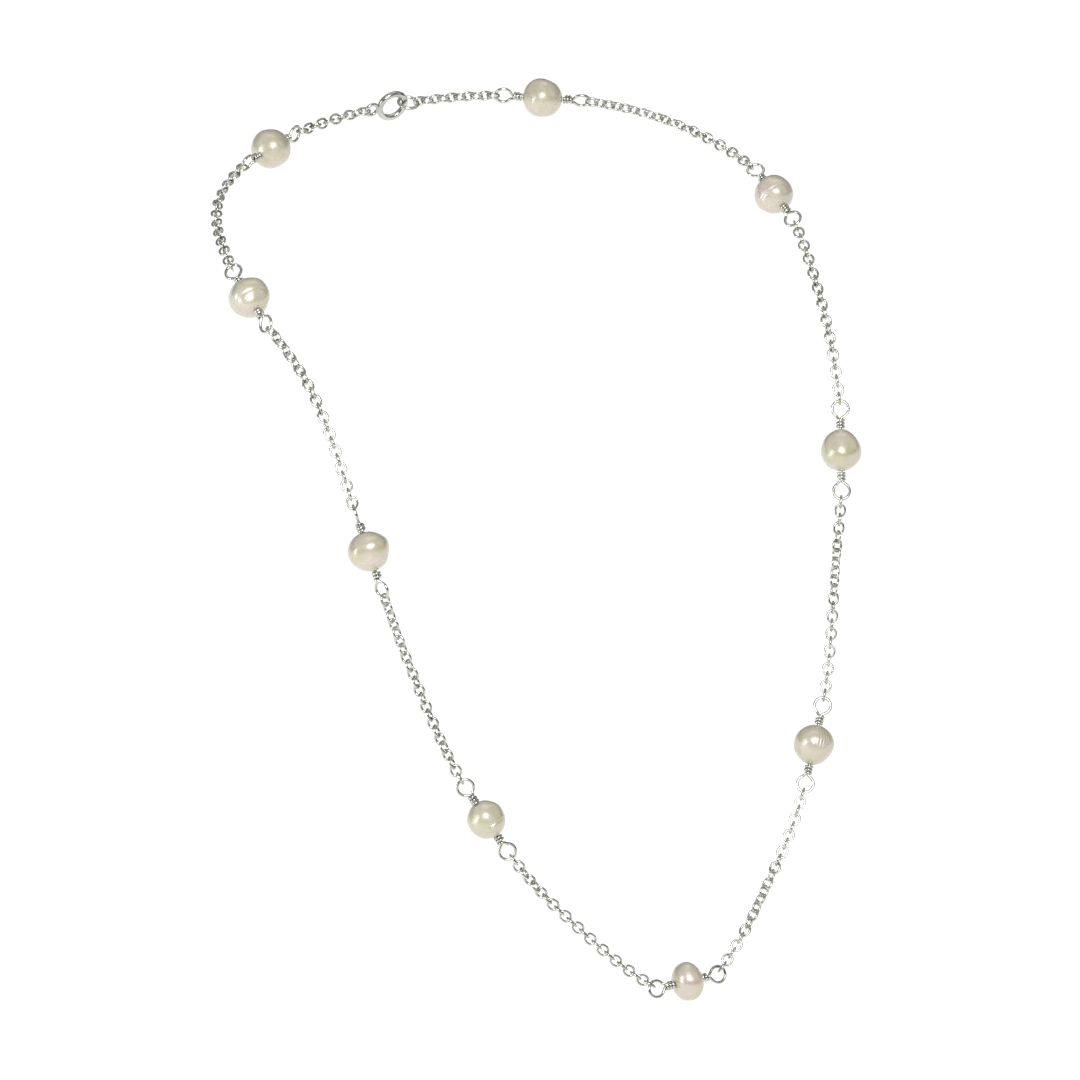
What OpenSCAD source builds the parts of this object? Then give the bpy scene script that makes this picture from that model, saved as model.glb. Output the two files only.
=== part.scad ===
// Station necklace: nine freshwater pearls, each on its own silver wire with a
// wrapped loop at both ends, joined by runs of fine cable chain into one closed
// loop. It is drawn as it hangs round a neck: +Z is up, the front hangs at -Y,
// and the origin is the middle of the nape, where the strand rests.

/* [Pearls] */
// Length of a middling pearl along its drilled hole
pearl_length = 6.9; // [5:0.1:10]
// Width of a middling pearl across its drilled hole
pearl_width = 6.8; // [5:0.1:10]
// Room round the wire in a pearl's drilled hole, over the whole width
bore_play = 0.2; // [0.1:0.05:0.5]

/* [Station wire] */
// Thickness of the wire that carries a pearl
wire_d = 0.5; // [0.4:0.02:0.55]
// Outside width of a wrapped loop
loop_d = 3.3; // [3:0.1:4.4]
// Height of a loop's middle above the neck where its two legs meet
loop_rise = 1.7; // [1.65:0.05:2.4]
// Inside radius of the bend between the stem and the loop's first leg
neck_bend = 0.45; // [0.3:0.05:0.5]
// Turns that the wire's end is wrapped round its stem
wrap_turns = 2.25; // [1.25:1:4.25]
// Distance from the loop's neck down to the first turn
wrap_drop = 0.25; // [0.25:0.05:0.5]
// Clear gap between one turn and the next, and between a turn and the stem
wrap_gap = 0.05; // [0.03:0.01:0.1]
// Clear gap between the last turn and the pearl
seat_gap = 0.06; // [0.02:0.02:0.3]

/* [Chain] */
// Outside length of a link
link_length = 2.48; // [2.3:0.01:3.2]
// Outside width of a link
link_width = 2.06; // [1.8:0.02:2.2]
// Thickness of a link's wire
link_wire = 0.42; // [0.3:0.02:0.5]
// Clear gap where two links or rings pull on each other
link_play = 0.12; // [0.1:0.01:0.2]
// Links between two pearls
run_links = 23; // [9:1:27]
// Links between an end pearl and the fastening, on each side
back_links = 10; // [4:1:14]

/* [Fastening] */
// Outside width of the clasp's ring
clasp_d = 6; // [5.4:0.1:8]
// Thickness of the clasp's ring
clasp_wire = 1.1; // [0.8:0.1:1.3]
// Outside width of the clasp's small eye
eye_d = 2.8; // [2.6:0.1:3.4]
// Thickness of the clasp's small eye
eye_wire = 0.6; // [0.5:0.05:0.7]
// How deep the eye is sunk into the clasp's ring, where it is soldered
eye_sunk = 0.35; // [0.2:0.05:0.45]
// Outside width of the ring that the clasp closes on
ring_d = 4; // [3.8:0.1:5]
// Thickness of the ring that the clasp closes on
ring_wire = 0.6; // [0.5:0.05:0.8]

/* [Hidden] */

// The strand's route: chosen points on the right half, from the nape round the
// side of the neck and down the chest to the middle of the front. The left half
// mirrors it, and the whole is scaled to the strand's own length.
route = [
    [0, 0, 0],
    [25, -5, -1],
    [43.5, -19.5, -4],
    [51, -43, -9.5],
    [48.5, -64.5, -21.5],
    [46, -77.5, -42],
    [41, -84.5, -64.5],
    [34, -92.5, -86.5],
    [21, -101, -108],
    [0, -108, -125],
];
// Steps drawn between two route points
route_steps = 24;

// The way that the open faces of the loops and links look on the chest, and at
// the nape, where they lie on the back of the neck
face_front = [-0.43, -0.81, 0.39];
face_nape = [0, -1, -0.3];
// Where the first turns into the second, as shares of the way from the nape to the front
turn_start_share = 0.32;
turn_end_share = 0.06;

// One row for each pearl, from the clasp down the left side and up the right:
// length and width as shares of the middling pearl, egg (wider towards the next
// pearl), point (1 is round, more is drawn out to the ends), and the turn of the
// loops before and after it away from lying flat
LONG = 0;
WIDE = 1;
EGG = 2;
POINT = 3;
TURN_BEFORE = 4;
TURN_AFTER = 5;
stations = [
    [1.00, 1.00, 0.03, 1.02, 10, 0],
    [0.97, 1.03, -0.04, 1.00, 0, 35],
    [0.99, 1.05, -0.10, 1.12, 90, 50],
    [0.95, 0.95, -0.03, 1.00, 0, 0],
    [0.74, 0.98, 0.04, 0.96, 0, 0],
    [1.02, 1.02, 0.06, 1.08, 0, 0],
    [1.06, 1.02, -0.07, 1.08, 0, 0],
    [0.96, 0.98, 0.04, 1.00, 0, 20],
    [1.02, 1.01, 0.03, 1.04, -15, 0],
];
pearls = len(stations);
front_pearl = (pearls - 1) / 2;

// One row for each run of chain between two pearls: how far it is twisted where
// it is twisted most, where along the run that is, and how far the twist spreads
TWIST = 0;
PLACE = 1;
SPREAD = 2;
runs = [
    [30, 0.5, 0.3],
    [12, 0.5, 0.3],
    [35, 0.84, 0.12],
    [45, 0.12, 0.16],
    [-50, 0.42, 0.18],
    [48, 0.66, 0.16],
    [20, 0.5, 0.3],
    [-30, 0.5, 0.3],
];

// Sides of the meshed wire, and parts of a full turn in its loops and wraps
wire_sides = 6;
loop_parts = 18;
wrap_parts = 12;
back_leg_parts = 6;
bend_parts = 3;
// Corners of the exact round pieces, and steps of a pearl's outline
round_fn = 24;
fine_fn = 16;
pearl_fn = 48;
pearl_steps = 22;

// Distances from the middle of a ring, loop or link to the inside of its end
link_in = link_length / 2 - link_wire;
loop_r = (loop_d - wire_d) / 2;
loop_in = loop_d / 2 - wire_d;
ring_in = ring_d / 2 - ring_wire;
clasp_in = clasp_d / 2 - clasp_wire;
eye_in = eye_d / 2 - eye_wire;
// From one link's middle to the next, and from a loop's middle to the first link's
pitch = 2 * link_in - link_play;
loop_to_link = loop_in + link_in - link_play;
run_length = (run_links - 1) * pitch + 2 * loop_to_link;
// From the clasp's middle to its eye's middle
clasp_to_eye = clasp_d / 2 + eye_d / 2 - eye_sunk;

// A wrap's rise for each turn and its radius, and the heights of a loop's neck
// and middle above the pearl's end
wrap_rise = wire_d + wrap_gap;
wrap_r = wire_d + wrap_gap;
neck_height = seat_gap + wire_d / 2 + wrap_fall(wrap_turns) + wrap_drop;
loop_height = neck_height + loop_rise;

function pearl_half(n) = pearl_length * stations[n][LONG] / 2;
function station_half(n) = pearl_half(n) + loop_height;

// Places along the strand, measured from the middle of the front
function raw_place(n) = n == 0 ? 0 : raw_place(n - 1) + station_half(n - 1) + run_length + station_half(n);
function place(n) = raw_place(n) - raw_place(front_pearl);
right_end = place(pearls - 1) + station_half(pearls - 1);
left_end = place(0) - station_half(0);
back_run = (back_links - 1) * pitch;
right_links_start = right_end + loop_to_link;
ring_place = right_links_start + back_run + link_in + ring_in - link_play;
clasp_place = ring_place + ring_in + clasp_in - link_play;
eye_place = clasp_place + clasp_to_eye;
left_links_start = eye_place + eye_in + link_in - link_play;
strand_length = left_links_start + back_run + loop_to_link - left_end;

// The route as a closed smooth curve, from the front up the right side, across
// the nape and down the left side
last = len(route) - 1;
knots = [
    for (i = [last:-1:0]) route[i],
    for (i = [1:last - 1]) [-route[i].x, route[i].y, route[i].z],
];
function knot(i) = knots[(i + len(knots)) % len(knots)];
function between(a, b, c, d, t) =
    0.5 * (2 * b + (c - a) * t + (2 * a - 5 * b + 4 * c - d) * t * t + (3 * b - a - 3 * c + d) * t * t * t);
curve = [
    for (i = [0:len(knots) - 1])
        for (k = [0:route_steps - 1])
            between(knot(i - 1), knot(i), knot(i + 1), knot(i + 2), k / route_steps),
    knots[0],
];
// How far along the curve each of its points lies
travel = [
    for (i = 0, far = 0; i < len(curve);
         i = i + 1, far = far + (i < len(curve) ? norm(curve[i] - curve[i - 1]) : 0)) far
];
route_scale = strand_length / travel[len(travel) - 1];
along_x = [for (i = [0:len(curve) - 1]) [travel[i], curve[i].x] * route_scale];
along_y = [for (i = [0:len(curve) - 1]) [travel[i], curve[i].y] * route_scale];
along_z = [for (i = [0:len(curve) - 1]) [travel[i], curve[i].z] * route_scale];

function wrapped(s) = s < 0 ? s + strand_length : s > strand_length ? s - strand_length : s;
function spot(s) = [lookup(wrapped(s), along_x), lookup(wrapped(s), along_y), lookup(wrapped(s), along_z)];

function unit(v) = v / norm(v);
function ease(t) = let (c = min(1, max(0, t))) c * c * (3 - 2 * c);
function front_share(p) = p.y / (route[last].y * route_scale);
function face_share(p) = ease((front_share(p) - turn_start_share) / (turn_end_share - turn_start_share));
function face_way(p) = let (w = face_share(p)) face_front * (1 - w) + face_nape * w;

// Sets its children at a place on the strand, between two points of it: their +Z
// runs along the strand and their -Y is the open face, then turned about the run
module strung(from, to, turn = 0) {
    a = spot(from);
    b = spot(to);
    z = unit(b - a);
    middle = (a + b) / 2;
    x = unit(cross(-face_way(middle), z));
    y = cross(z, x);
    multmatrix([
        [x.x, y.x, z.x, middle.x],
        [x.y, y.y, z.y, middle.y],
        [x.z, y.z, z.z, middle.z],
        [0, 0, 0, 1],
    ])
        rotate([0, 0, turn]) children();
}

// A link, lying flat in the XZ plane: two half rings joined by two straight sides
module link() {
    r = (link_width - link_wire) / 2;
    side_length = link_length - link_width;
    rotate([90, 0, 0]) {
        for (end = [0, 180])
            rotate([0, 0, end])
                translate([0, side_length / 2, 0])
                    rotate_extrude(angle = 180, $fn = round_fn)
                        translate([r, 0]) circle(d = link_wire, $fn = fine_fn);
        for (side = [-1, 1])
            translate([side * r, side_length / 2, 0])
                rotate([90, 0, 0]) cylinder(d = link_wire, h = side_length, $fn = fine_fn);
    }
}

// A plain closed ring, lying flat in the XZ plane
module ring(outside, thick) {
    rotate([90, 0, 0])
        rotate_extrude($fn = 2 * round_fn)
            translate([(outside - thick) / 2, 0]) circle(d = thick, $fn = fine_fn);
}

// The extra turn that a run's own row gives to the link at share t of it
function twist(row, t) =
    row[TWIST] * exp(-pow((t - row[PLACE]) / row[SPREAD], 2)) * ease(4 * t) * ease(4 * (1 - t));

module links(start, count, first_turn, total_turn, row) {
    for (i = [0:count - 1]) {
        s = start + i * pitch;
        t = (i + 1) / (count + 1);
        turn = first_turn + 90 * (i + 1) + total_turn * t + twist(row, t);
        strung(s - pitch / 2, s + pitch / 2, turn) link();
    }
}

// A full turn of a link looks the same after half of it, so a run turns the short way
function short_way(angle) = let (a = (angle % 180 + 180) % 180) a > 90 ? a - 180 : a;
function run_turn(from, to, count) = short_way(to - from - 90 * (count + 1));

module chain(n) {
    first = stations[n][TURN_AFTER];
    total = run_turn(first, stations[n + 1][TURN_BEFORE], run_links);
    color("gainsboro")
        links(place(n) + station_half(n) + loop_to_link, run_links, first, total, runs[n]);
}

no_twist = [0, 0.5, 1];
ring_turn = 90;
clasp_turn = 0;

module chain_back_right() {
    first = stations[pearls - 1][TURN_AFTER];
    color("gainsboro")
        links(right_links_start, back_links, first, run_turn(first, ring_turn, back_links), no_twist);
}

module chain_back_left() {
    total = run_turn(clasp_turn, stations[0][TURN_BEFORE], back_links);
    color("gainsboro") links(left_links_start, back_links, clasp_turn, total, no_twist);
}

module end_ring() {
    color("gainsboro")
        strung(ring_place - ring_d / 2, ring_place + ring_d / 2, ring_turn) ring(ring_d, ring_wire);
}

module clasp() {
    color("gainsboro")
        strung(clasp_place - clasp_d / 2, eye_place + eye_d / 2, clasp_turn) {
            whole = clasp_d / 2 + clasp_to_eye + eye_d / 2;
            translate([0, 0, (clasp_d - whole) / 2]) ring(clasp_d, clasp_wire);
            translate([0, 0, (whole - eye_d) / 2]) ring(eye_d, eye_wire);
        }
}

// A pearl's outline turned about its hole: an oval, made egg-shaped and drawn out
// to its ends by its row of the table
module pearl(n) {
    row = stations[n];
    half = pearl_half(n);
    r = pearl_width * row[WIDE] / 2;
    outline = [
        for (k = [0:pearl_steps])
            let (a = 180 * k / pearl_steps)
                [r * pow(sin(a), row[POINT]) * (1 + row[EGG] * cos(a)), half * cos(a)],
    ];
    color("ivory")
        strung(place(n) - station_half(n), place(n) + station_half(n))
            difference() {
                rotate_extrude($fn = pearl_fn) polygon(outline);
                cylinder(d = wire_d + bore_play, h = 3 * half, center = true, $fn = round_fn);
            }
}

// How far the wraps have come down the stem after some turns: each turn lies
// nearly level in front of the stem and comes down behind it
function wrap_fall(turns) = wrap_rise * (turns - sin(360 * turns) / (2 * PI));

// The path of the wire from the pearl's middle to its cut end: up the stem, round
// the loop, back down in front of the neck and round the stem
function bezier(a, b, c, d, t) =
    a * pow(1 - t, 3) + 3 * b * t * pow(1 - t, 2) + 3 * c * t * t * (1 - t) + d * pow(t, 3);
function wire_end(half) =
    let (
        neck = half + neck_height,
        middle = neck + loop_rise,
        lean = asin(loop_r / loop_rise),
        bend_start = neck - neck_bend * tan(lean / 2),
        sweep = 180 + 2 * lean,
        loop_end = [-loop_r * cos(lean), 0, middle - loop_r * sin(lean)],
        wrap_start = [0, -wrap_r, neck - wrap_drop],
        reach = 0.3 * norm(wrap_start - loop_end)
    )
    [
        [0, 0, 0],
        [0, 0, bend_start],
        for (k = [1:bend_parts])
            let (a = lean * k / bend_parts)
                [neck_bend * (1 - cos(a)), 0, bend_start + neck_bend * sin(a)],
        for (k = [0:loop_parts])
            let (a = sweep * k / loop_parts - lean)
                [loop_r * cos(a), 0, middle + loop_r * sin(a)],
        for (k = [1:back_leg_parts - 1])
            bezier(
                loop_end,
                loop_end + reach * [sin(lean), 0, -cos(lean)],
                wrap_start - reach * [1, 0, 0],
                wrap_start,
                k / back_leg_parts
            ),
        for (k = [0:wrap_turns * wrap_parts])
            let (a = 360 * k / wrap_parts - 90)
                [wrap_r * cos(a), wrap_r * sin(a), neck - wrap_drop - wrap_fall(k / wrap_parts)],
    ];

function turned(p, turn) = [p.x * cos(turn) - p.y * sin(turn), p.x * sin(turn) + p.y * cos(turn), p.z];

// A round wire along a path, each ring carried on from the one before it
module tube(path, thick) {
    count = len(path);
    ways = [
        for (i = [0:count - 1])
            unit(path[min(i + 1, count - 1)] - path[max(i - 1, 0)]),
    ];
    first = unit(cross(ways[0], abs(ways[0].z) < 0.9 ? [0, 0, 1] : [1, 0, 0]));
    sides = [
        for (i = 0, side = first; i < count;
             i = i + 1, side = i < count ? unit(side - (side * ways[i]) * ways[i]) : side) side
    ];
    points = [
        for (i = [0:count - 1])
            for (k = [0:wire_sides - 1])
                let (a = 360 * k / wire_sides)
                    path[i] + thick / 2 * (cos(a) * sides[i] + sin(a) * cross(ways[i], sides[i])),
    ];
    function corner(i, k) = i * wire_sides + k % wire_sides;
    faces = [
        for (i = [0:count - 2])
            for (k = [0:wire_sides - 1])
                each [
                    [corner(i, k), corner(i + 1, k), corner(i + 1, k + 1)],
                    [corner(i, k), corner(i + 1, k + 1), corner(i, k + 1)],
                ],
        [for (k = [0:wire_sides - 1]) corner(0, k)],
        [for (k = [wire_sides - 1:-1:0]) corner(count - 1, k)],
    ];
    polyhedron(points, faces);
}

module wire(n) {
    half = wire_end(pearl_half(n));
    after = [for (p = half) turned(p, stations[n][TURN_AFTER])];
    before = [
        for (i = [len(half) - 1:-1:1])
            turned([half[i].x, half[i].y, -half[i].z], stations[n][TURN_BEFORE])
    ];
    color("silver")
        strung(place(n) - station_half(n), place(n) + station_half(n))
            tube(concat(before, [for (i = [1:len(after) - 1]) after[i]]), wire_d);
}

for (n = [0:pearls - 1]) {
    pearl(n);
    wire(n);
}
for (n = [0:pearls - 2]) {
    chain(n);
}
chain_back_left();
chain_back_right();
clasp();
end_ring();
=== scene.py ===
import math
from bisect import bisect_right

import bmesh
import bpy
from mathutils import Matrix, Vector, noise


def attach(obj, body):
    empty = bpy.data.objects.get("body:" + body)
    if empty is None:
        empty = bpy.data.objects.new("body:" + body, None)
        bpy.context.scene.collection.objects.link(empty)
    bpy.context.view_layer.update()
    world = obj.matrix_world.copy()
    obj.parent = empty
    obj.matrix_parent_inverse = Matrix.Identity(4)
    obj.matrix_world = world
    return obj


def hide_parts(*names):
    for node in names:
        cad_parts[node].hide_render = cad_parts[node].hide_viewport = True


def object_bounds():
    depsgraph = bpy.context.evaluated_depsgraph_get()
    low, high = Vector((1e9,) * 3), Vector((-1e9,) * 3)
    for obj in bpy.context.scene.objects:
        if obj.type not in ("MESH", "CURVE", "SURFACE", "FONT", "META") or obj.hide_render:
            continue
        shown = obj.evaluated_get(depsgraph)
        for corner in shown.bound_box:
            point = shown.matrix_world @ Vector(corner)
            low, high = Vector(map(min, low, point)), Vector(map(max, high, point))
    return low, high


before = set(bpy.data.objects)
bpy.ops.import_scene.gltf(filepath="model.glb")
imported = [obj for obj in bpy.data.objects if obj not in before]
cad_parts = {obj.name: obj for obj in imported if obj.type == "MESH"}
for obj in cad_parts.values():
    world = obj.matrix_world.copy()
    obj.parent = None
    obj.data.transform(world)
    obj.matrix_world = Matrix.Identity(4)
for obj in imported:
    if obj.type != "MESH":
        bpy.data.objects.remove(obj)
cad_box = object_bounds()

# Sizes of the necklace, in millimetres
MM = 0.001
PEARL_LENGTH = 6.9
PEARL_WIDTH = 6.8
BORE_D = 0.7
WIRE_D = 0.5
LOOP_D = 3.3
LOOP_RISE = 1.7
NECK_BEND = 0.45
WRAP_TURNS = 2.25
WRAP_DROP = 0.25
WRAP_GAP = 0.05
SEAT_GAP = 0.06
LINK_LENGTH = 2.48
LINK_WIDTH = 2.06
LINK_WIRE = 0.42
LINK_PLAY = 0.12
RUN_LINKS = 23
BACK_LINKS = 10
CLASP_D = 6.0
CLASP_WIRE = 1.1
EYE_D = 2.8
EYE_WIRE = 0.6
EYE_SUNK = 0.35
RING_D = 4.0
RING_WIRE = 0.6

# The strand's route on the right half, from the nape to the middle of the front
ROUTE = [
    (0, 0, 0),
    (25, -5, -1),
    (43.5, -19.5, -4),
    (51, -43, -9.5),
    (48.5, -64.5, -21.5),
    (46, -77.5, -42),
    (41, -84.5, -64.5),
    (34, -92.5, -86.5),
    (21, -101, -108),
    (0, -108, -125),
]
ROUTE_STEPS = 24
FACE_FRONT = Vector((-0.43, -0.81, 0.39))
FACE_NAPE = Vector((0, -1, -0.3))
TURN_START_SHARE = 0.32
TURN_END_SHARE = 0.06

# One row for each pearl: length, width, egg, point, and the turns of its two loops
STATIONS = [
    (1.00, 1.00, 0.03, 1.02, 10, 0),
    (0.97, 1.03, -0.04, 1.00, 0, 35),
    (0.99, 1.05, -0.10, 1.12, 90, 50),
    (0.95, 0.95, -0.03, 1.00, 0, 0),
    (0.74, 0.98, 0.04, 0.96, 0, 0),
    (1.02, 1.02, 0.06, 1.08, 0, 0),
    (1.06, 1.02, -0.07, 1.08, 0, 0),
    (0.96, 0.98, 0.04, 1.00, 0, 20),
    (1.02, 1.01, 0.03, 1.04, -15, 0),
]
# One row for each run of chain: its greatest twist, where it is, how far it spreads
RUNS = [
    (30, 0.5, 0.3),
    (12, 0.5, 0.3),
    (35, 0.84, 0.12),
    (45, 0.12, 0.16),
    (-50, 0.42, 0.18),
    (48, 0.66, 0.16),
    (20, 0.5, 0.3),
    (-30, 0.5, 0.3),
]
NO_TWIST = (0, 0.5, 1)
RING_TURN = 90
CLASP_TURN = 0

# Inside ends of the links, loops and rings, and the steps along the strand
LINK_IN = LINK_LENGTH / 2 - LINK_WIRE
LOOP_R = (LOOP_D - WIRE_D) / 2
LOOP_IN = LOOP_D / 2 - WIRE_D
RING_IN = RING_D / 2 - RING_WIRE
CLASP_IN = CLASP_D / 2 - CLASP_WIRE
EYE_IN = EYE_D / 2 - EYE_WIRE
PITCH = 2 * LINK_IN - LINK_PLAY
LOOP_TO_LINK = LOOP_IN + LINK_IN - LINK_PLAY
RUN_LENGTH = (RUN_LINKS - 1) * PITCH + 2 * LOOP_TO_LINK
CLASP_TO_EYE = CLASP_D / 2 + EYE_D / 2 - EYE_SUNK
WRAP_RISE = WIRE_D + WRAP_GAP
WRAP_R = WIRE_D + WRAP_GAP


def wrap_fall(turns):
    """How far the wraps have come down the stem: level in front of it, falling behind it."""
    return WRAP_RISE * (turns - math.sin(math.tau * turns) / math.tau)


NECK_HEIGHT = SEAT_GAP + WIRE_D / 2 + wrap_fall(WRAP_TURNS) + WRAP_DROP
LOOP_HEIGHT = NECK_HEIGHT + LOOP_RISE
PEARLS = len(STATIONS)
FRONT_PEARL = PEARLS // 2


def pearl_half(n):
    return PEARL_LENGTH * STATIONS[n][0] / 2


def station_half(n):
    return pearl_half(n) + LOOP_HEIGHT


def pearl_places():
    """Places of the pearls along the strand, measured from the middle of the front."""
    places = [0.0]
    for n in range(1, PEARLS):
        places.append(places[-1] + station_half(n - 1) + RUN_LENGTH + station_half(n))
    return [p - places[FRONT_PEARL] for p in places]


PLACES = pearl_places()
RIGHT_END = PLACES[-1] + station_half(PEARLS - 1)
LEFT_END = PLACES[0] - station_half(0)
BACK_RUN = (BACK_LINKS - 1) * PITCH
RIGHT_LINKS_START = RIGHT_END + LOOP_TO_LINK
RING_PLACE = RIGHT_LINKS_START + BACK_RUN + LINK_IN + RING_IN - LINK_PLAY
CLASP_PLACE = RING_PLACE + RING_IN + CLASP_IN - LINK_PLAY
EYE_PLACE = CLASP_PLACE + CLASP_TO_EYE
LEFT_LINKS_START = EYE_PLACE + EYE_IN + LINK_IN - LINK_PLAY
STRAND_LENGTH = LEFT_LINKS_START + BACK_RUN + LOOP_TO_LINK - LEFT_END


def between(a, b, c, d, t):
    """A smooth curve from b to c, led by the points before and after them."""
    square = 2 * a - 5 * b + 4 * c - d
    cube = 3 * b - a - 3 * c + d
    return 0.5 * (2 * b + (c - a) * t + square * t ** 2 + cube * t ** 3)


def strand_curve():
    """The closed route as points, and how far along it each lies, at the strand's real length."""
    right = [Vector(p) for p in reversed(ROUTE)]
    left = [Vector((-x, y, z)) for x, y, z in ROUTE[1:-1]]
    knots = right + left
    count = len(knots)
    points = []
    for i in range(count):
        four = [knots[(i + k) % count] for k in (-1, 0, 1, 2)]
        points += [between(*four, k / ROUTE_STEPS) for k in range(ROUTE_STEPS)]
    points.append(knots[0])
    travel = [0.0]
    for a, b in zip(points, points[1:]):
        travel.append(travel[-1] + (b - a).length)
    scale = STRAND_LENGTH / travel[-1]
    return [p * scale for p in points], [t * scale for t in travel], scale


CURVE, TRAVEL, ROUTE_SCALE = strand_curve()


def spot(s):
    """The point at a place along the strand."""
    s = s % STRAND_LENGTH
    i = min(bisect_right(TRAVEL, s), len(TRAVEL) - 1)
    share = (s - TRAVEL[i - 1]) / (TRAVEL[i] - TRAVEL[i - 1])
    return CURVE[i - 1].lerp(CURVE[i], share)


def ease(t):
    """From 0 to 1 with a soft start and end."""
    t = min(1.0, max(0.0, t))
    return t * t * (3 - 2 * t)


def hump(x, width, power=2):
    """1 in the middle, fading to 0 past a width; a higher power fades later and faster."""
    return math.exp(-(x / width) ** power)


def face_way(point):
    """The way that open loops and flat links look, on the chest and at the nape."""
    front_share = point.y / (ROUTE[-1][1] * ROUTE_SCALE)
    turned = ease((front_share - TURN_START_SHARE) / (TURN_END_SHARE - TURN_START_SHARE))
    return FACE_FRONT.lerp(FACE_NAPE, turned)


def strung(start, end, turn=0.0):
    """Matrix in metres that sets a piece on the strand: +Z runs along it and -Y is the open face."""
    a, b = spot(start), spot(end)
    middle = (a + b) / 2
    z = (b - a).normalized()
    x = (-face_way(middle)).cross(z).normalized()
    y = z.cross(x)
    place = Matrix((x, y, z)).transposed().to_4x4()
    place.translation = middle
    return Matrix.Scale(MM, 4) @ place @ Matrix.Rotation(math.radians(turn), 4, "Z")


# Shared mesh helpers


def finished(name, bm, material, nodes):
    """A named piece from a bmesh in its place, riding on the part and standing for CAD nodes."""
    bmesh.ops.recalc_face_normals(bm, faces=bm.faces)
    for face in bm.faces:
        face.smooth = True
    mesh = bpy.data.meshes.new(name)
    bm.to_mesh(mesh)
    bm.free()
    mesh.materials.append(material)
    piece = bpy.data.objects.new(name, mesh)
    bpy.context.collection.objects.link(piece)
    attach(piece, "root")
    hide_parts(*nodes)
    return piece


def swept(bm, path, thick, closed, place, resolution, swell=None):
    """Adds a round wire along a path, in millimetres, to a bmesh.

    swell gives the share of its thickness that the wire has at a point."""
    curve = bpy.data.curves.new("wire_path", "CURVE")
    curve.dimensions = "3D"
    curve.bevel_depth = thick / 2
    curve.bevel_resolution = resolution
    curve.use_fill_caps = not closed
    spline = curve.splines.new("POLY")
    spline.points.add(len(path) - 1)
    spline.use_cyclic_u = closed
    for i, point in enumerate(path):
        spline.points[i].co = (*point, 1)
        spline.points[i].radius = swell(i) if swell else 1.0
    holder = bpy.data.objects.new("wire_path", curve)
    mesh = bpy.data.meshes.new_from_object(holder)
    mesh.transform(place)
    bm.from_mesh(mesh)
    bpy.data.meshes.remove(mesh)
    bpy.data.objects.remove(holder)
    bpy.data.curves.remove(curve)


# Materials


def new_material(name):
    material = bpy.data.materials.new(name)
    material.use_nodes = True
    nodes = material.node_tree.nodes
    return material, nodes, material.node_tree.links, nodes["Principled BSDF"]


def grey(level):
    return (level, level, level)


def noise_texture(nodes, links, place, scale, detail, distortion=0.0):
    """Noise on the coordinates of a socket, with scale in waves for each metre."""
    texture = nodes.new("ShaderNodeTexNoise")
    texture.inputs["Scale"].default_value = scale
    texture.inputs["Detail"].default_value = detail
    texture.inputs["Distortion"].default_value = distortion
    links.new(place, texture.inputs["Vector"])
    return texture


def ramp(nodes, links, source, stops):
    """A colour ramp driven by a texture's factor; stops are (place, colour)."""
    node = nodes.new("ShaderNodeValToRGB")
    elements = node.color_ramp.elements
    while len(elements) < len(stops):
        elements.new(0.5)
    for element, (position, colour) in zip(elements, stops):
        element.position = position
        element.color = (*colour, 1)
    links.new(source, node.inputs["Fac"])
    return node


def bump(nodes, links, height, strength, distance):
    node = nodes.new("ShaderNodeBump")
    node.inputs["Strength"].default_value = strength
    node.inputs["Distance"].default_value = distance
    links.new(height, node.inputs["Height"])
    return node


MARK_DEPTH = 0.00002


def silver(name, bright, dull, scratch_scale):
    """Polished silver: tone and gloss drift a little over the surface, with fine rubbing marks."""
    material, nodes, links, shader = new_material(name)
    place = nodes.new("ShaderNodeTexCoord").outputs["Object"]
    shader.inputs["Metallic"].default_value = 1.0
    tone = noise_texture(nodes, links, place, 420.0, 2.0)
    tint = ramp(nodes, links, tone.outputs["Fac"], [(0.35, dull), (0.65, bright)])
    links.new(tint.outputs["Color"], shader.inputs["Base Color"])
    rubbed = noise_texture(nodes, links, place, 1500.0, 4.0, 0.4)
    gloss = ramp(nodes, links, rubbed.outputs["Fac"], [(0.3, grey(0.1)), (0.75, grey(0.24))])
    links.new(gloss.outputs["Color"], shader.inputs["Roughness"])
    marks = noise_texture(nodes, links, place, scratch_scale, 5.0, 0.6)
    relief = bump(nodes, links, marks.outputs["Fac"], 0.12, MARK_DEPTH)
    links.new(relief.outputs["Normal"], shader.inputs["Normal"])
    return material


NACRE = {
    "Metallic": 0.2,
    "Subsurface Weight": 0.15,
    "Subsurface Radius": (1.0, 0.8, 0.6),
    "Subsurface Scale": 0.0012,
    "Specular IOR Level": 0.8,
    "IOR": 1.6,
    "Coat Weight": 0.7,
    "Coat Roughness": 0.23,
    "Coat IOR": 1.5,
}
# How far the nacre's pattern moves from one pearl to the next, in metres
PATTERN_STEP = (0.013, 0.007, 0.019)
VEIL_SHARE = 0.35


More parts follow.
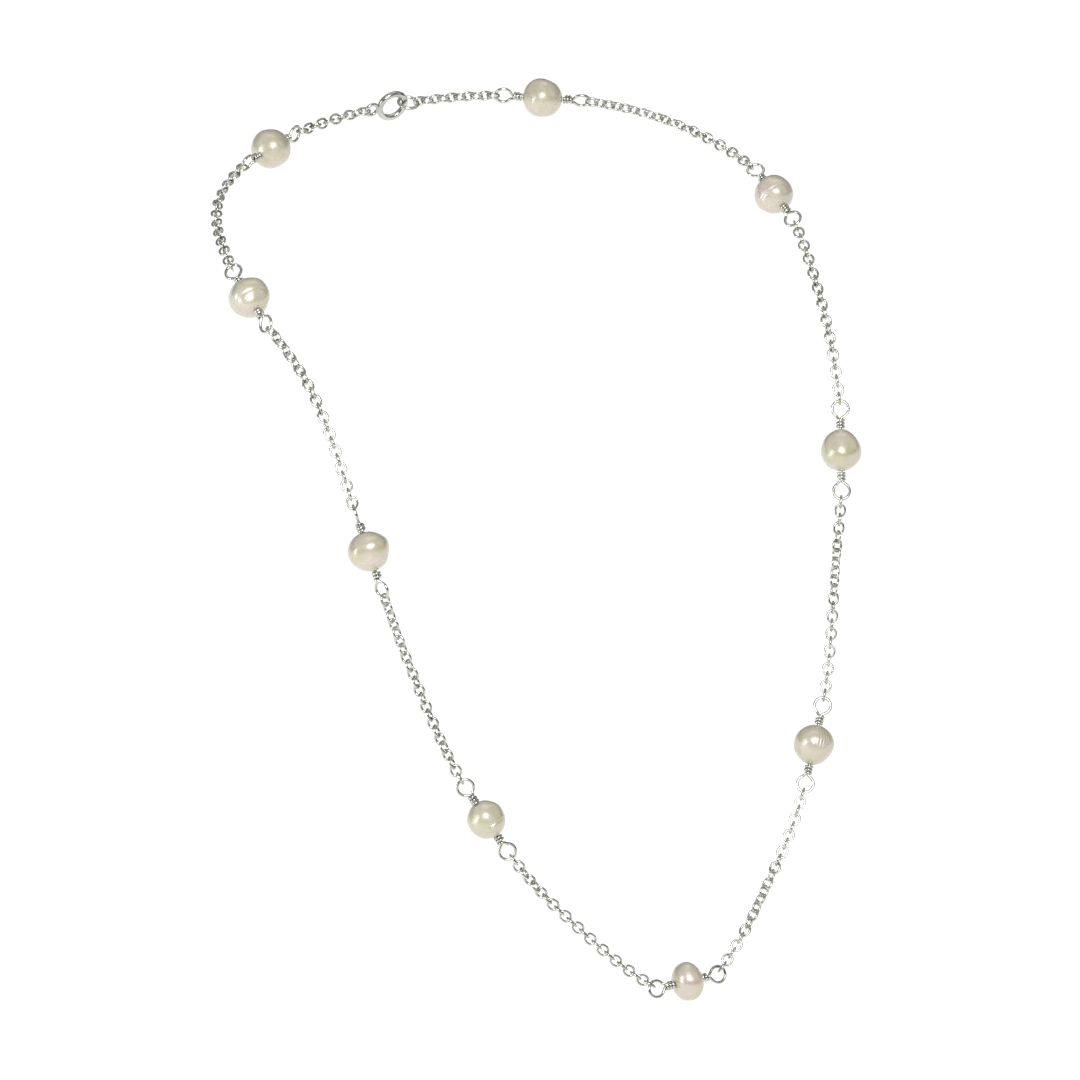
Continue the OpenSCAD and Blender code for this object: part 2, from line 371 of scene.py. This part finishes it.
def nacre(name, seed):
    """Pearl nacre: cream with faint rose and green drifts, a soft glow and a clear gloss."""
    material, nodes, links, shader = new_material(name)
    coordinates = nodes.new("ShaderNodeTexCoord")
    offset = nodes.new("ShaderNodeMapping")
    offset.inputs["Location"].default_value = [step * seed for step in PATTERN_STEP]
    links.new(coordinates.outputs["Object"], offset.inputs["Vector"])
    place = offset.outputs["Vector"]
    drift = noise_texture(nodes, links, place, 210.0, 2.0, 0.8)
    body = ramp(nodes, links, drift.outputs["Fac"], [
        (0.30, (0.49, 0.46, 0.31)),
        (0.44, (0.53, 0.49, 0.36)),
        (0.56, (0.56, 0.51, 0.42)),
        (0.70, (0.57, 0.48, 0.41)),
    ])
    layers = noise_texture(nodes, links, place, 520.0, 2.0)
    mix = nodes.new("ShaderNodeMix")
    mix.data_type = "RGBA"
    mix.blend_type = "MULTIPLY"
    mix.inputs["Factor"].default_value = VEIL_SHARE
    veil = ramp(nodes, links, layers.outputs["Fac"], [(0.3, (0.90, 0.89, 0.84)), (0.7, grey(1.0))])
    links.new(body.outputs["Color"], mix.inputs["A"])
    links.new(veil.outputs["Color"], mix.inputs["B"])
    links.new(mix.outputs["Result"], shader.inputs["Base Color"])
    gloss = ramp(nodes, links, layers.outputs["Fac"], [(0.3, grey(0.30)), (0.7, grey(0.37))])
    links.new(gloss.outputs["Color"], shader.inputs["Roughness"])
    relief = bump(nodes, links, layers.outputs["Fac"], 0.1, MARK_DEPTH)
    links.new(relief.outputs["Normal"], shader.inputs["Normal"])
    for socket, value in NACRE.items():
        shader.inputs[socket].default_value = value
    return material


CHAIN_SILVER = silver("polished_chain_silver", (0.60, 0.60, 0.55), (0.42, 0.42, 0.37), 5200.0)
WIRE_SILVER = silver("bright_wire_silver", (0.62, 0.62, 0.57), (0.44, 0.44, 0.39), 3800.0)
CLASP_SILVER = silver("cast_clasp_silver", (0.62, 0.62, 0.57), (0.46, 0.46, 0.42), 2600.0)

# Chain

LINK_ARC_STEPS = 5
LINK_ROUND = 1
SOLDER_SWELL = 1.09


def link_path():
    """The middle line of a link's wire, lying in the XZ plane."""
    r = (LINK_WIDTH - LINK_WIRE) / 2
    straight = (LINK_LENGTH - LINK_WIDTH) / 2
    path = []
    for end, lift in ((0, straight), (180, -straight)):
        for k in range(LINK_ARC_STEPS + 1):
            a = math.radians(end + 180 * k / LINK_ARC_STEPS)
            path.append((r * math.cos(a), 0, lift + r * math.sin(a)))
    return path


def link_swell(i):
    """The soldered seam, a little thicker, in the middle of one side."""
    return SOLDER_SWELL if i == LINK_ARC_STEPS else 1.0


def short_way(angle):
    """The smallest turn that leaves a link lying the same way; half a turn changes nothing."""
    angle = angle % 180
    return angle - 180 if angle > 90 else angle


def run_twist(row, t):
    """A run's twist at a share of its length, none at its two ends."""
    peak, place, spread = row
    return peak * hump(t - place, spread) * ease(4 * t) * ease(4 * (1 - t))


def chain_run(name, start, count, first_turn, last_turn, row):
    """A run of interlocked links, each turned a quarter from the one before and twisted with the run."""
    total = short_way(last_turn - first_turn - 90 * (count + 1))
    bm = bmesh.new()
    for i in range(count):
        s = start + i * PITCH
        t = (i + 1) / (count + 1)
        turn = first_turn + 90 * (i + 1) + total * t + run_twist(row, t)
        place = strung(s - PITCH / 2, s + PITCH / 2, turn)
        swept(bm, link_path(), LINK_WIRE, True, place, LINK_ROUND, link_swell)
    return finished(name + "_links", bm, CHAIN_SILVER, [name])


for n in range(PEARLS - 1):
    start = PLACES[n] + station_half(n) + LOOP_TO_LINK
    chain_run(f"chain_{n + 1}", start, RUN_LINKS, STATIONS[n][5], STATIONS[n + 1][4], RUNS[n])
chain_run("chain_back_right", RIGHT_LINKS_START, BACK_LINKS, STATIONS[-1][5], RING_TURN, NO_TWIST)
chain_run("chain_back_left", LEFT_LINKS_START, BACK_LINKS, CLASP_TURN, STATIONS[0][4], NO_TWIST)

# Station wires

LOOP_STEPS = 32
WRAP_STEPS = 20
BACK_LEG_STEPS = 8
BEND_STEPS = 5
WIRE_ROUND = 4
LEG_REACH = 0.3


def bezier(a, b, c, d, t):
    return a * (1 - t) ** 3 + 3 * b * t * (1 - t) ** 2 + 3 * c * t * t * (1 - t) + d * t ** 3


def wire_end(half):
    """The wire from the pearl's middle to its cut end: stem, loop, leg back in front of the neck, wraps."""
    neck = half + NECK_HEIGHT
    middle = neck + LOOP_RISE
    lean = math.asin(LOOP_R / LOOP_RISE)
    bend_start = neck - NECK_BEND * math.tan(lean / 2)
    path = [Vector((0, 0, 0)), Vector((0, 0, bend_start))]
    for k in range(1, BEND_STEPS + 1):
        a = lean * k / BEND_STEPS
        path.append(Vector((NECK_BEND * (1 - math.cos(a)), 0, bend_start + NECK_BEND * math.sin(a))))
    for k in range(LOOP_STEPS + 1):
        a = (math.pi + 2 * lean) * k / LOOP_STEPS - lean
        path.append(Vector((LOOP_R * math.cos(a), 0, middle + LOOP_R * math.sin(a))))
    loop_end = path[-1]
    wrap_start = Vector((0, -WRAP_R, neck - WRAP_DROP))
    reach = LEG_REACH * (wrap_start - loop_end).length
    leave = loop_end + reach * Vector((math.sin(lean), 0, -math.cos(lean)))
    arrive = wrap_start - reach * Vector((1, 0, 0))
    for k in range(1, BACK_LEG_STEPS):
        path.append(bezier(loop_end, leave, arrive, wrap_start, k / BACK_LEG_STEPS))
    for k in range(int(WRAP_TURNS * WRAP_STEPS) + 1):
        a = 2 * math.pi * k / WRAP_STEPS - math.pi / 2
        height = neck - WRAP_DROP - wrap_fall(k / WRAP_STEPS)
        path.append(Vector((WRAP_R * math.cos(a), WRAP_R * math.sin(a), height)))
    return path


def station_wire(n):
    half = wire_end(pearl_half(n))
    after_turn = Matrix.Rotation(math.radians(STATIONS[n][5]), 3, "Z")
    before_turn = Matrix.Rotation(math.radians(STATIONS[n][4]), 3, "Z")
    after = [after_turn @ p for p in half[1:]]
    before = [before_turn @ Vector((p.x, p.y, -p.z)) for p in reversed(half[1:])]
    bm = bmesh.new()
    place = strung(PLACES[n] - station_half(n), PLACES[n] + station_half(n))
    swept(bm, before + after, WIRE_D, False, place, WIRE_ROUND)
    return finished(f"wrapped_wire_{n + 1}", bm, WIRE_SILVER, [f"wire_{n + 1}"])


for n in range(PEARLS):
    station_wire(n)

# Pearls

PEARL_ROUND = 200
PEARL_STEPS = 90
MOUTH_FLARE = 1.25
MOUTH_R = BORE_D / 2 * MOUTH_FLARE
HOLE_WALL = 0.1
HOLE_MARGIN = 0.01
MERGE_DISTANCE = 0.0005

# What each pearl grew with, apart from its main oval: its uneven bulge in millimetres,
# and its marks. A ring has its height as a share of the half length, and its depth.
# A fold or ridges have the way to their middle, their turn and their depth.
PEARL_GROWTH = [
    (0.25, []),
    (0.28, [("ring", 0.35, 0.06)]),
    (0.30, [("fold", (0.15, -0.95, 0.30), -70, 0.06)]),
    (0.22, [("fold", (-0.03, -0.98, 0.12), -90, 0.13)]),
    (0.22, []),
    (0.20, [("ridges", (0.42, -0.90, 0.15), 0, 0.045)]),
    (0.26, []),
    (0.28, [("ring", -0.3, 0.06)]),
    (0.25, []),
]
BULGE_WAVES = 1.3
RIPPLE = 0.012
RIPPLE_WAVES = 4.0
RING_SPREAD = 0.05
FOLD_BEND = 0.35
FOLD_SPREAD = 0.07
FOLD_REACH = 0.7
LIP_SHARE = 0.5
LIP_OFF = 0.17
LIP_SPREAD = 0.13
RIDGES_REACH = 0.6
RIDGES_SPREAD = 0.3
RIDGE_WAVES = 42


def pearl_outline(n):
    """The pearl's outline on one side of its hole, from rim to rim, with the hole's own wall."""
    length, width, egg, point = STATIONS[n][:4]
    half = pearl_half(n)
    r = PEARL_WIDTH * width / 2
    outline = []
    for k in range(PEARL_STEPS + 1):
        a = math.pi * k / PEARL_STEPS
        out = r * math.sin(a) ** point * (1 + egg * math.cos(a)) if 0 < k < PEARL_STEPS else 0.0
        if out > MOUTH_R:
            outline.append(Vector((out, 0, half * math.cos(a))))
    top, bottom = outline[0].z, outline[-1].z
    hole = BORE_D / 2
    wall = [Vector((hole, 0, top - HOLE_WALL)), Vector((hole, 0, bottom + HOLE_WALL))]
    return wall[:1] + outline + wall[1:]


def mark_place(way, centre, turn):
    """How far a direction lies along and across a mark, in shares of the pearl's radius."""
    upright = (Vector((0, 0, 1)) - centre * centre.z).normalized()
    sideways = upright.cross(centre)
    angle = math.radians(turn)
    along = upright * math.cos(angle) + sideways * math.sin(angle)
    across = sideways * math.cos(angle) - upright * math.sin(angle)
    return way.dot(along), way.dot(across)


def growth(n, point, half):
    """How far a point of the pearl's skin stands out or in, in millimetres."""
    swell, marks = PEARL_GROWTH[n]
    way = point.normalized()
    ends = max(0.0, 1 - abs(point.z / half) ** 3)
    out = swell * ends * noise.noise(way * BULGE_WAVES + Vector((7.1 * n, 3.7, 1.9 * n)))
    out += RIPPLE * ends * noise.noise(way * RIPPLE_WAVES + Vector((2.3 * n, 9.2, 4.4)))
    for kind, *facts in marks:
        if kind == "ring":
            height, depth = facts
            out -= depth * ends * hump(point.z / half - height, RING_SPREAD)
            continue
        centre, turn, depth = facts
        centre = Vector(centre).normalized()
        if way.dot(centre) <= 0:
            continue
        u, v = mark_place(way, centre, turn)
        if kind == "fold":
            bend = v - FOLD_BEND * u * u
            fade = hump(u, FOLD_REACH, 4)
            out -= depth * hump(bend, FOLD_SPREAD) * fade
            out += LIP_SHARE * depth * hump(bend - LIP_OFF, LIP_SPREAD) * fade
        else:
            fade = hump(u, RIDGES_REACH, 4) * hump(v, RIDGES_SPREAD, 4)
            out += depth * fade * math.cos(v * RIDGE_WAVES)
    return out


def pearl(n):
    outline = pearl_outline(n)
    bm = bmesh.new()
    corners = [bm.verts.new(p) for p in outline]
    edges = [bm.edges.new(pair) for pair in zip(corners, corners[1:] + corners[:1])]
    bmesh.ops.spin(bm, geom=corners + edges, cent=(0, 0, 0), axis=(0, 0, 1), angle=math.tau,
                   steps=PEARL_ROUND, use_merge=True)
    bmesh.ops.remove_doubles(bm, verts=bm.verts, dist=MERGE_DISTANCE)
    half = pearl_half(n)
    for vert in bm.verts:
        if math.hypot(vert.co.x, vert.co.y) > BORE_D / 2 + HOLE_MARGIN:
            vert.co += vert.co.normalized() * growth(n, vert.co, half)
    bm.transform(strung(PLACES[n] - station_half(n), PLACES[n] + station_half(n)))
    material = nacre(f"pearl_nacre_{n + 1}", n)
    return finished(f"freshwater_pearl_{n + 1}", bm, material, [f"pearl_{n + 1}"])


for n in range(PEARLS):
    pearl(n)

# Fastening

RING_STEPS = 48
RING_ROUND = 6


def ring_path(outside, thick, lift=0.0):
    r = (outside - thick) / 2
    steps = [math.tau * k / RING_STEPS for k in range(RING_STEPS)]
    return [(r * math.cos(a), 0, lift + r * math.sin(a)) for a in steps]


def end_ring():
    bm = bmesh.new()
    place = strung(RING_PLACE - RING_D / 2, RING_PLACE + RING_D / 2, RING_TURN)
    swept(bm, ring_path(RING_D, RING_WIRE), RING_WIRE, True, place, RING_ROUND)
    return finished("end_ring_wire", bm, WIRE_SILVER, ["end_ring"])


def clasp():
    """The clasp's ring with its small eye sunk into it, as soldered."""
    whole = CLASP_D / 2 + CLASP_TO_EYE + EYE_D / 2
    bm = bmesh.new()
    place = strung(CLASP_PLACE - CLASP_D / 2, EYE_PLACE + EYE_D / 2, CLASP_TURN)
    ring = ring_path(CLASP_D, CLASP_WIRE, (CLASP_D - whole) / 2)
    eye = ring_path(EYE_D, EYE_WIRE, (whole - EYE_D) / 2)
    swept(bm, ring, CLASP_WIRE, True, place, RING_ROUND)
    swept(bm, eye, EYE_WIRE, True, place, RING_ROUND)
    return finished("clasp_ring", bm, CLASP_SILVER, ["clasp"])


end_ring()
clasp()

# Stage, lights and camera, in metres and degrees; the lens and its sensor in millimetres

FLOOR_HALF = 6
FLOOR_DROP = 0.06
FLOOR_GLOW = 0.86
AZIMUTH = -28.0
ELEVATION = 23.0
CAMERA_DISTANCE = 1.4
LENS = 270.0
SENSOR_WIDTH = 36
CLIP_START = 0.05
WORLD_STRENGTH = 0.5


def floor():
    bm = bmesh.new()
    bmesh.ops.create_grid(bm, x_segments=1, y_segments=1, size=FLOOR_HALF)
    low = cad_box[0][2] - FLOOR_DROP
    bmesh.ops.translate(bm, verts=bm.verts, vec=(0, 0, low))
    mesh = bpy.data.meshes.new("floor")
    bm.to_mesh(mesh)
    bm.free()
    material, _, _, shader = new_material("pale_floor")
    shader.inputs["Base Color"].default_value = (*grey(0.3), 1)
    shader.inputs["Roughness"].default_value = 0.9
    shader.inputs["Emission Color"].default_value = (*grey(1), 1)
    shader.inputs["Emission Strength"].default_value = FLOOR_GLOW
    mesh.materials.append(material)
    plane = bpy.data.objects.new("floor", mesh)
    bpy.context.collection.objects.link(plane)


def area_light(name, way, distance, size, power, middle, colour=(1, 1, 1)):
    """A rectangular soft light, looking at the necklace's middle from a way off."""
    data = bpy.data.lights.new(name, "AREA")
    data.shape = "RECTANGLE"
    data.size, data.size_y = size
    data.energy = power
    data.color = colour
    lamp = bpy.data.objects.new(name, data)
    lamp.location = middle + Vector(way).normalized() * distance
    lamp.rotation_euler = (middle - lamp.location).to_track_quat("-Z", "Y").to_euler()
    bpy.context.collection.objects.link(lamp)


def view_way(azimuth, elevation):
    """The way from the middle of the necklace to a viewer; azimuth 0 is straight in front."""
    a, e = math.radians(azimuth), math.radians(elevation)
    return Vector((math.sin(a) * math.cos(e), -math.cos(a) * math.cos(e), math.sin(e)))


middle = (Vector(cad_box[0]) + Vector(cad_box[1])) / 2
floor()
area_light("key_softbox", view_way(-22, 39), 0.9, (0.46, 0.42), 5.7, middle)
area_light("left_softbox", view_way(-92, 10), 0.9, (0.28, 0.44), 2.9, middle, (0.84, 0.92, 1.0))
area_light("right_fill", view_way(62, 30), 1.2, (0.2, 0.7), 0.5, middle)
area_light("top_panel", view_way(150, 68), 1.2, (0.9, 0.5), 1.2, middle)


def studio_world():
    """A pale studio: bright overhead, darker below, which gives polished metal its edges."""
    world = bpy.data.worlds.new("studio")
    world.use_nodes = True
    nodes, links = world.node_tree.nodes, world.node_tree.links
    coordinates = nodes.new("ShaderNodeTexCoord")
    parts = nodes.new("ShaderNodeSeparateXYZ")
    links.new(coordinates.outputs["Generated"], parts.inputs["Vector"])
    heights = ramp(nodes, links, parts.outputs["Z"], [
        (0.00, (0.10, 0.10, 0.09)),
        (0.22, (0.16, 0.16, 0.15)),
        (0.48, (0.75, 0.75, 0.74)),
        (1.00, (1.00, 1.00, 1.00)),
    ])
    links.new(heights.outputs["Color"], nodes["Background"].inputs["Color"])
    nodes["Background"].inputs["Strength"].default_value = WORLD_STRENGTH
    bpy.context.scene.world = world


studio_world()
bpy.context.scene.view_settings.view_transform = "Standard"

camera_data = bpy.data.cameras.new("camera")
camera_data.lens = LENS
camera_data.sensor_width = SENSOR_WIDTH
camera_data.clip_start = CLIP_START
camera = bpy.data.objects.new("camera", camera_data)
camera.location = middle + view_way(AZIMUTH, ELEVATION) * CAMERA_DISTANCE
camera.rotation_euler = (middle - camera.location).to_track_quat("-Z", "Y").to_euler()
bpy.context.collection.objects.link(camera)
bpy.context.scene.camera = camera
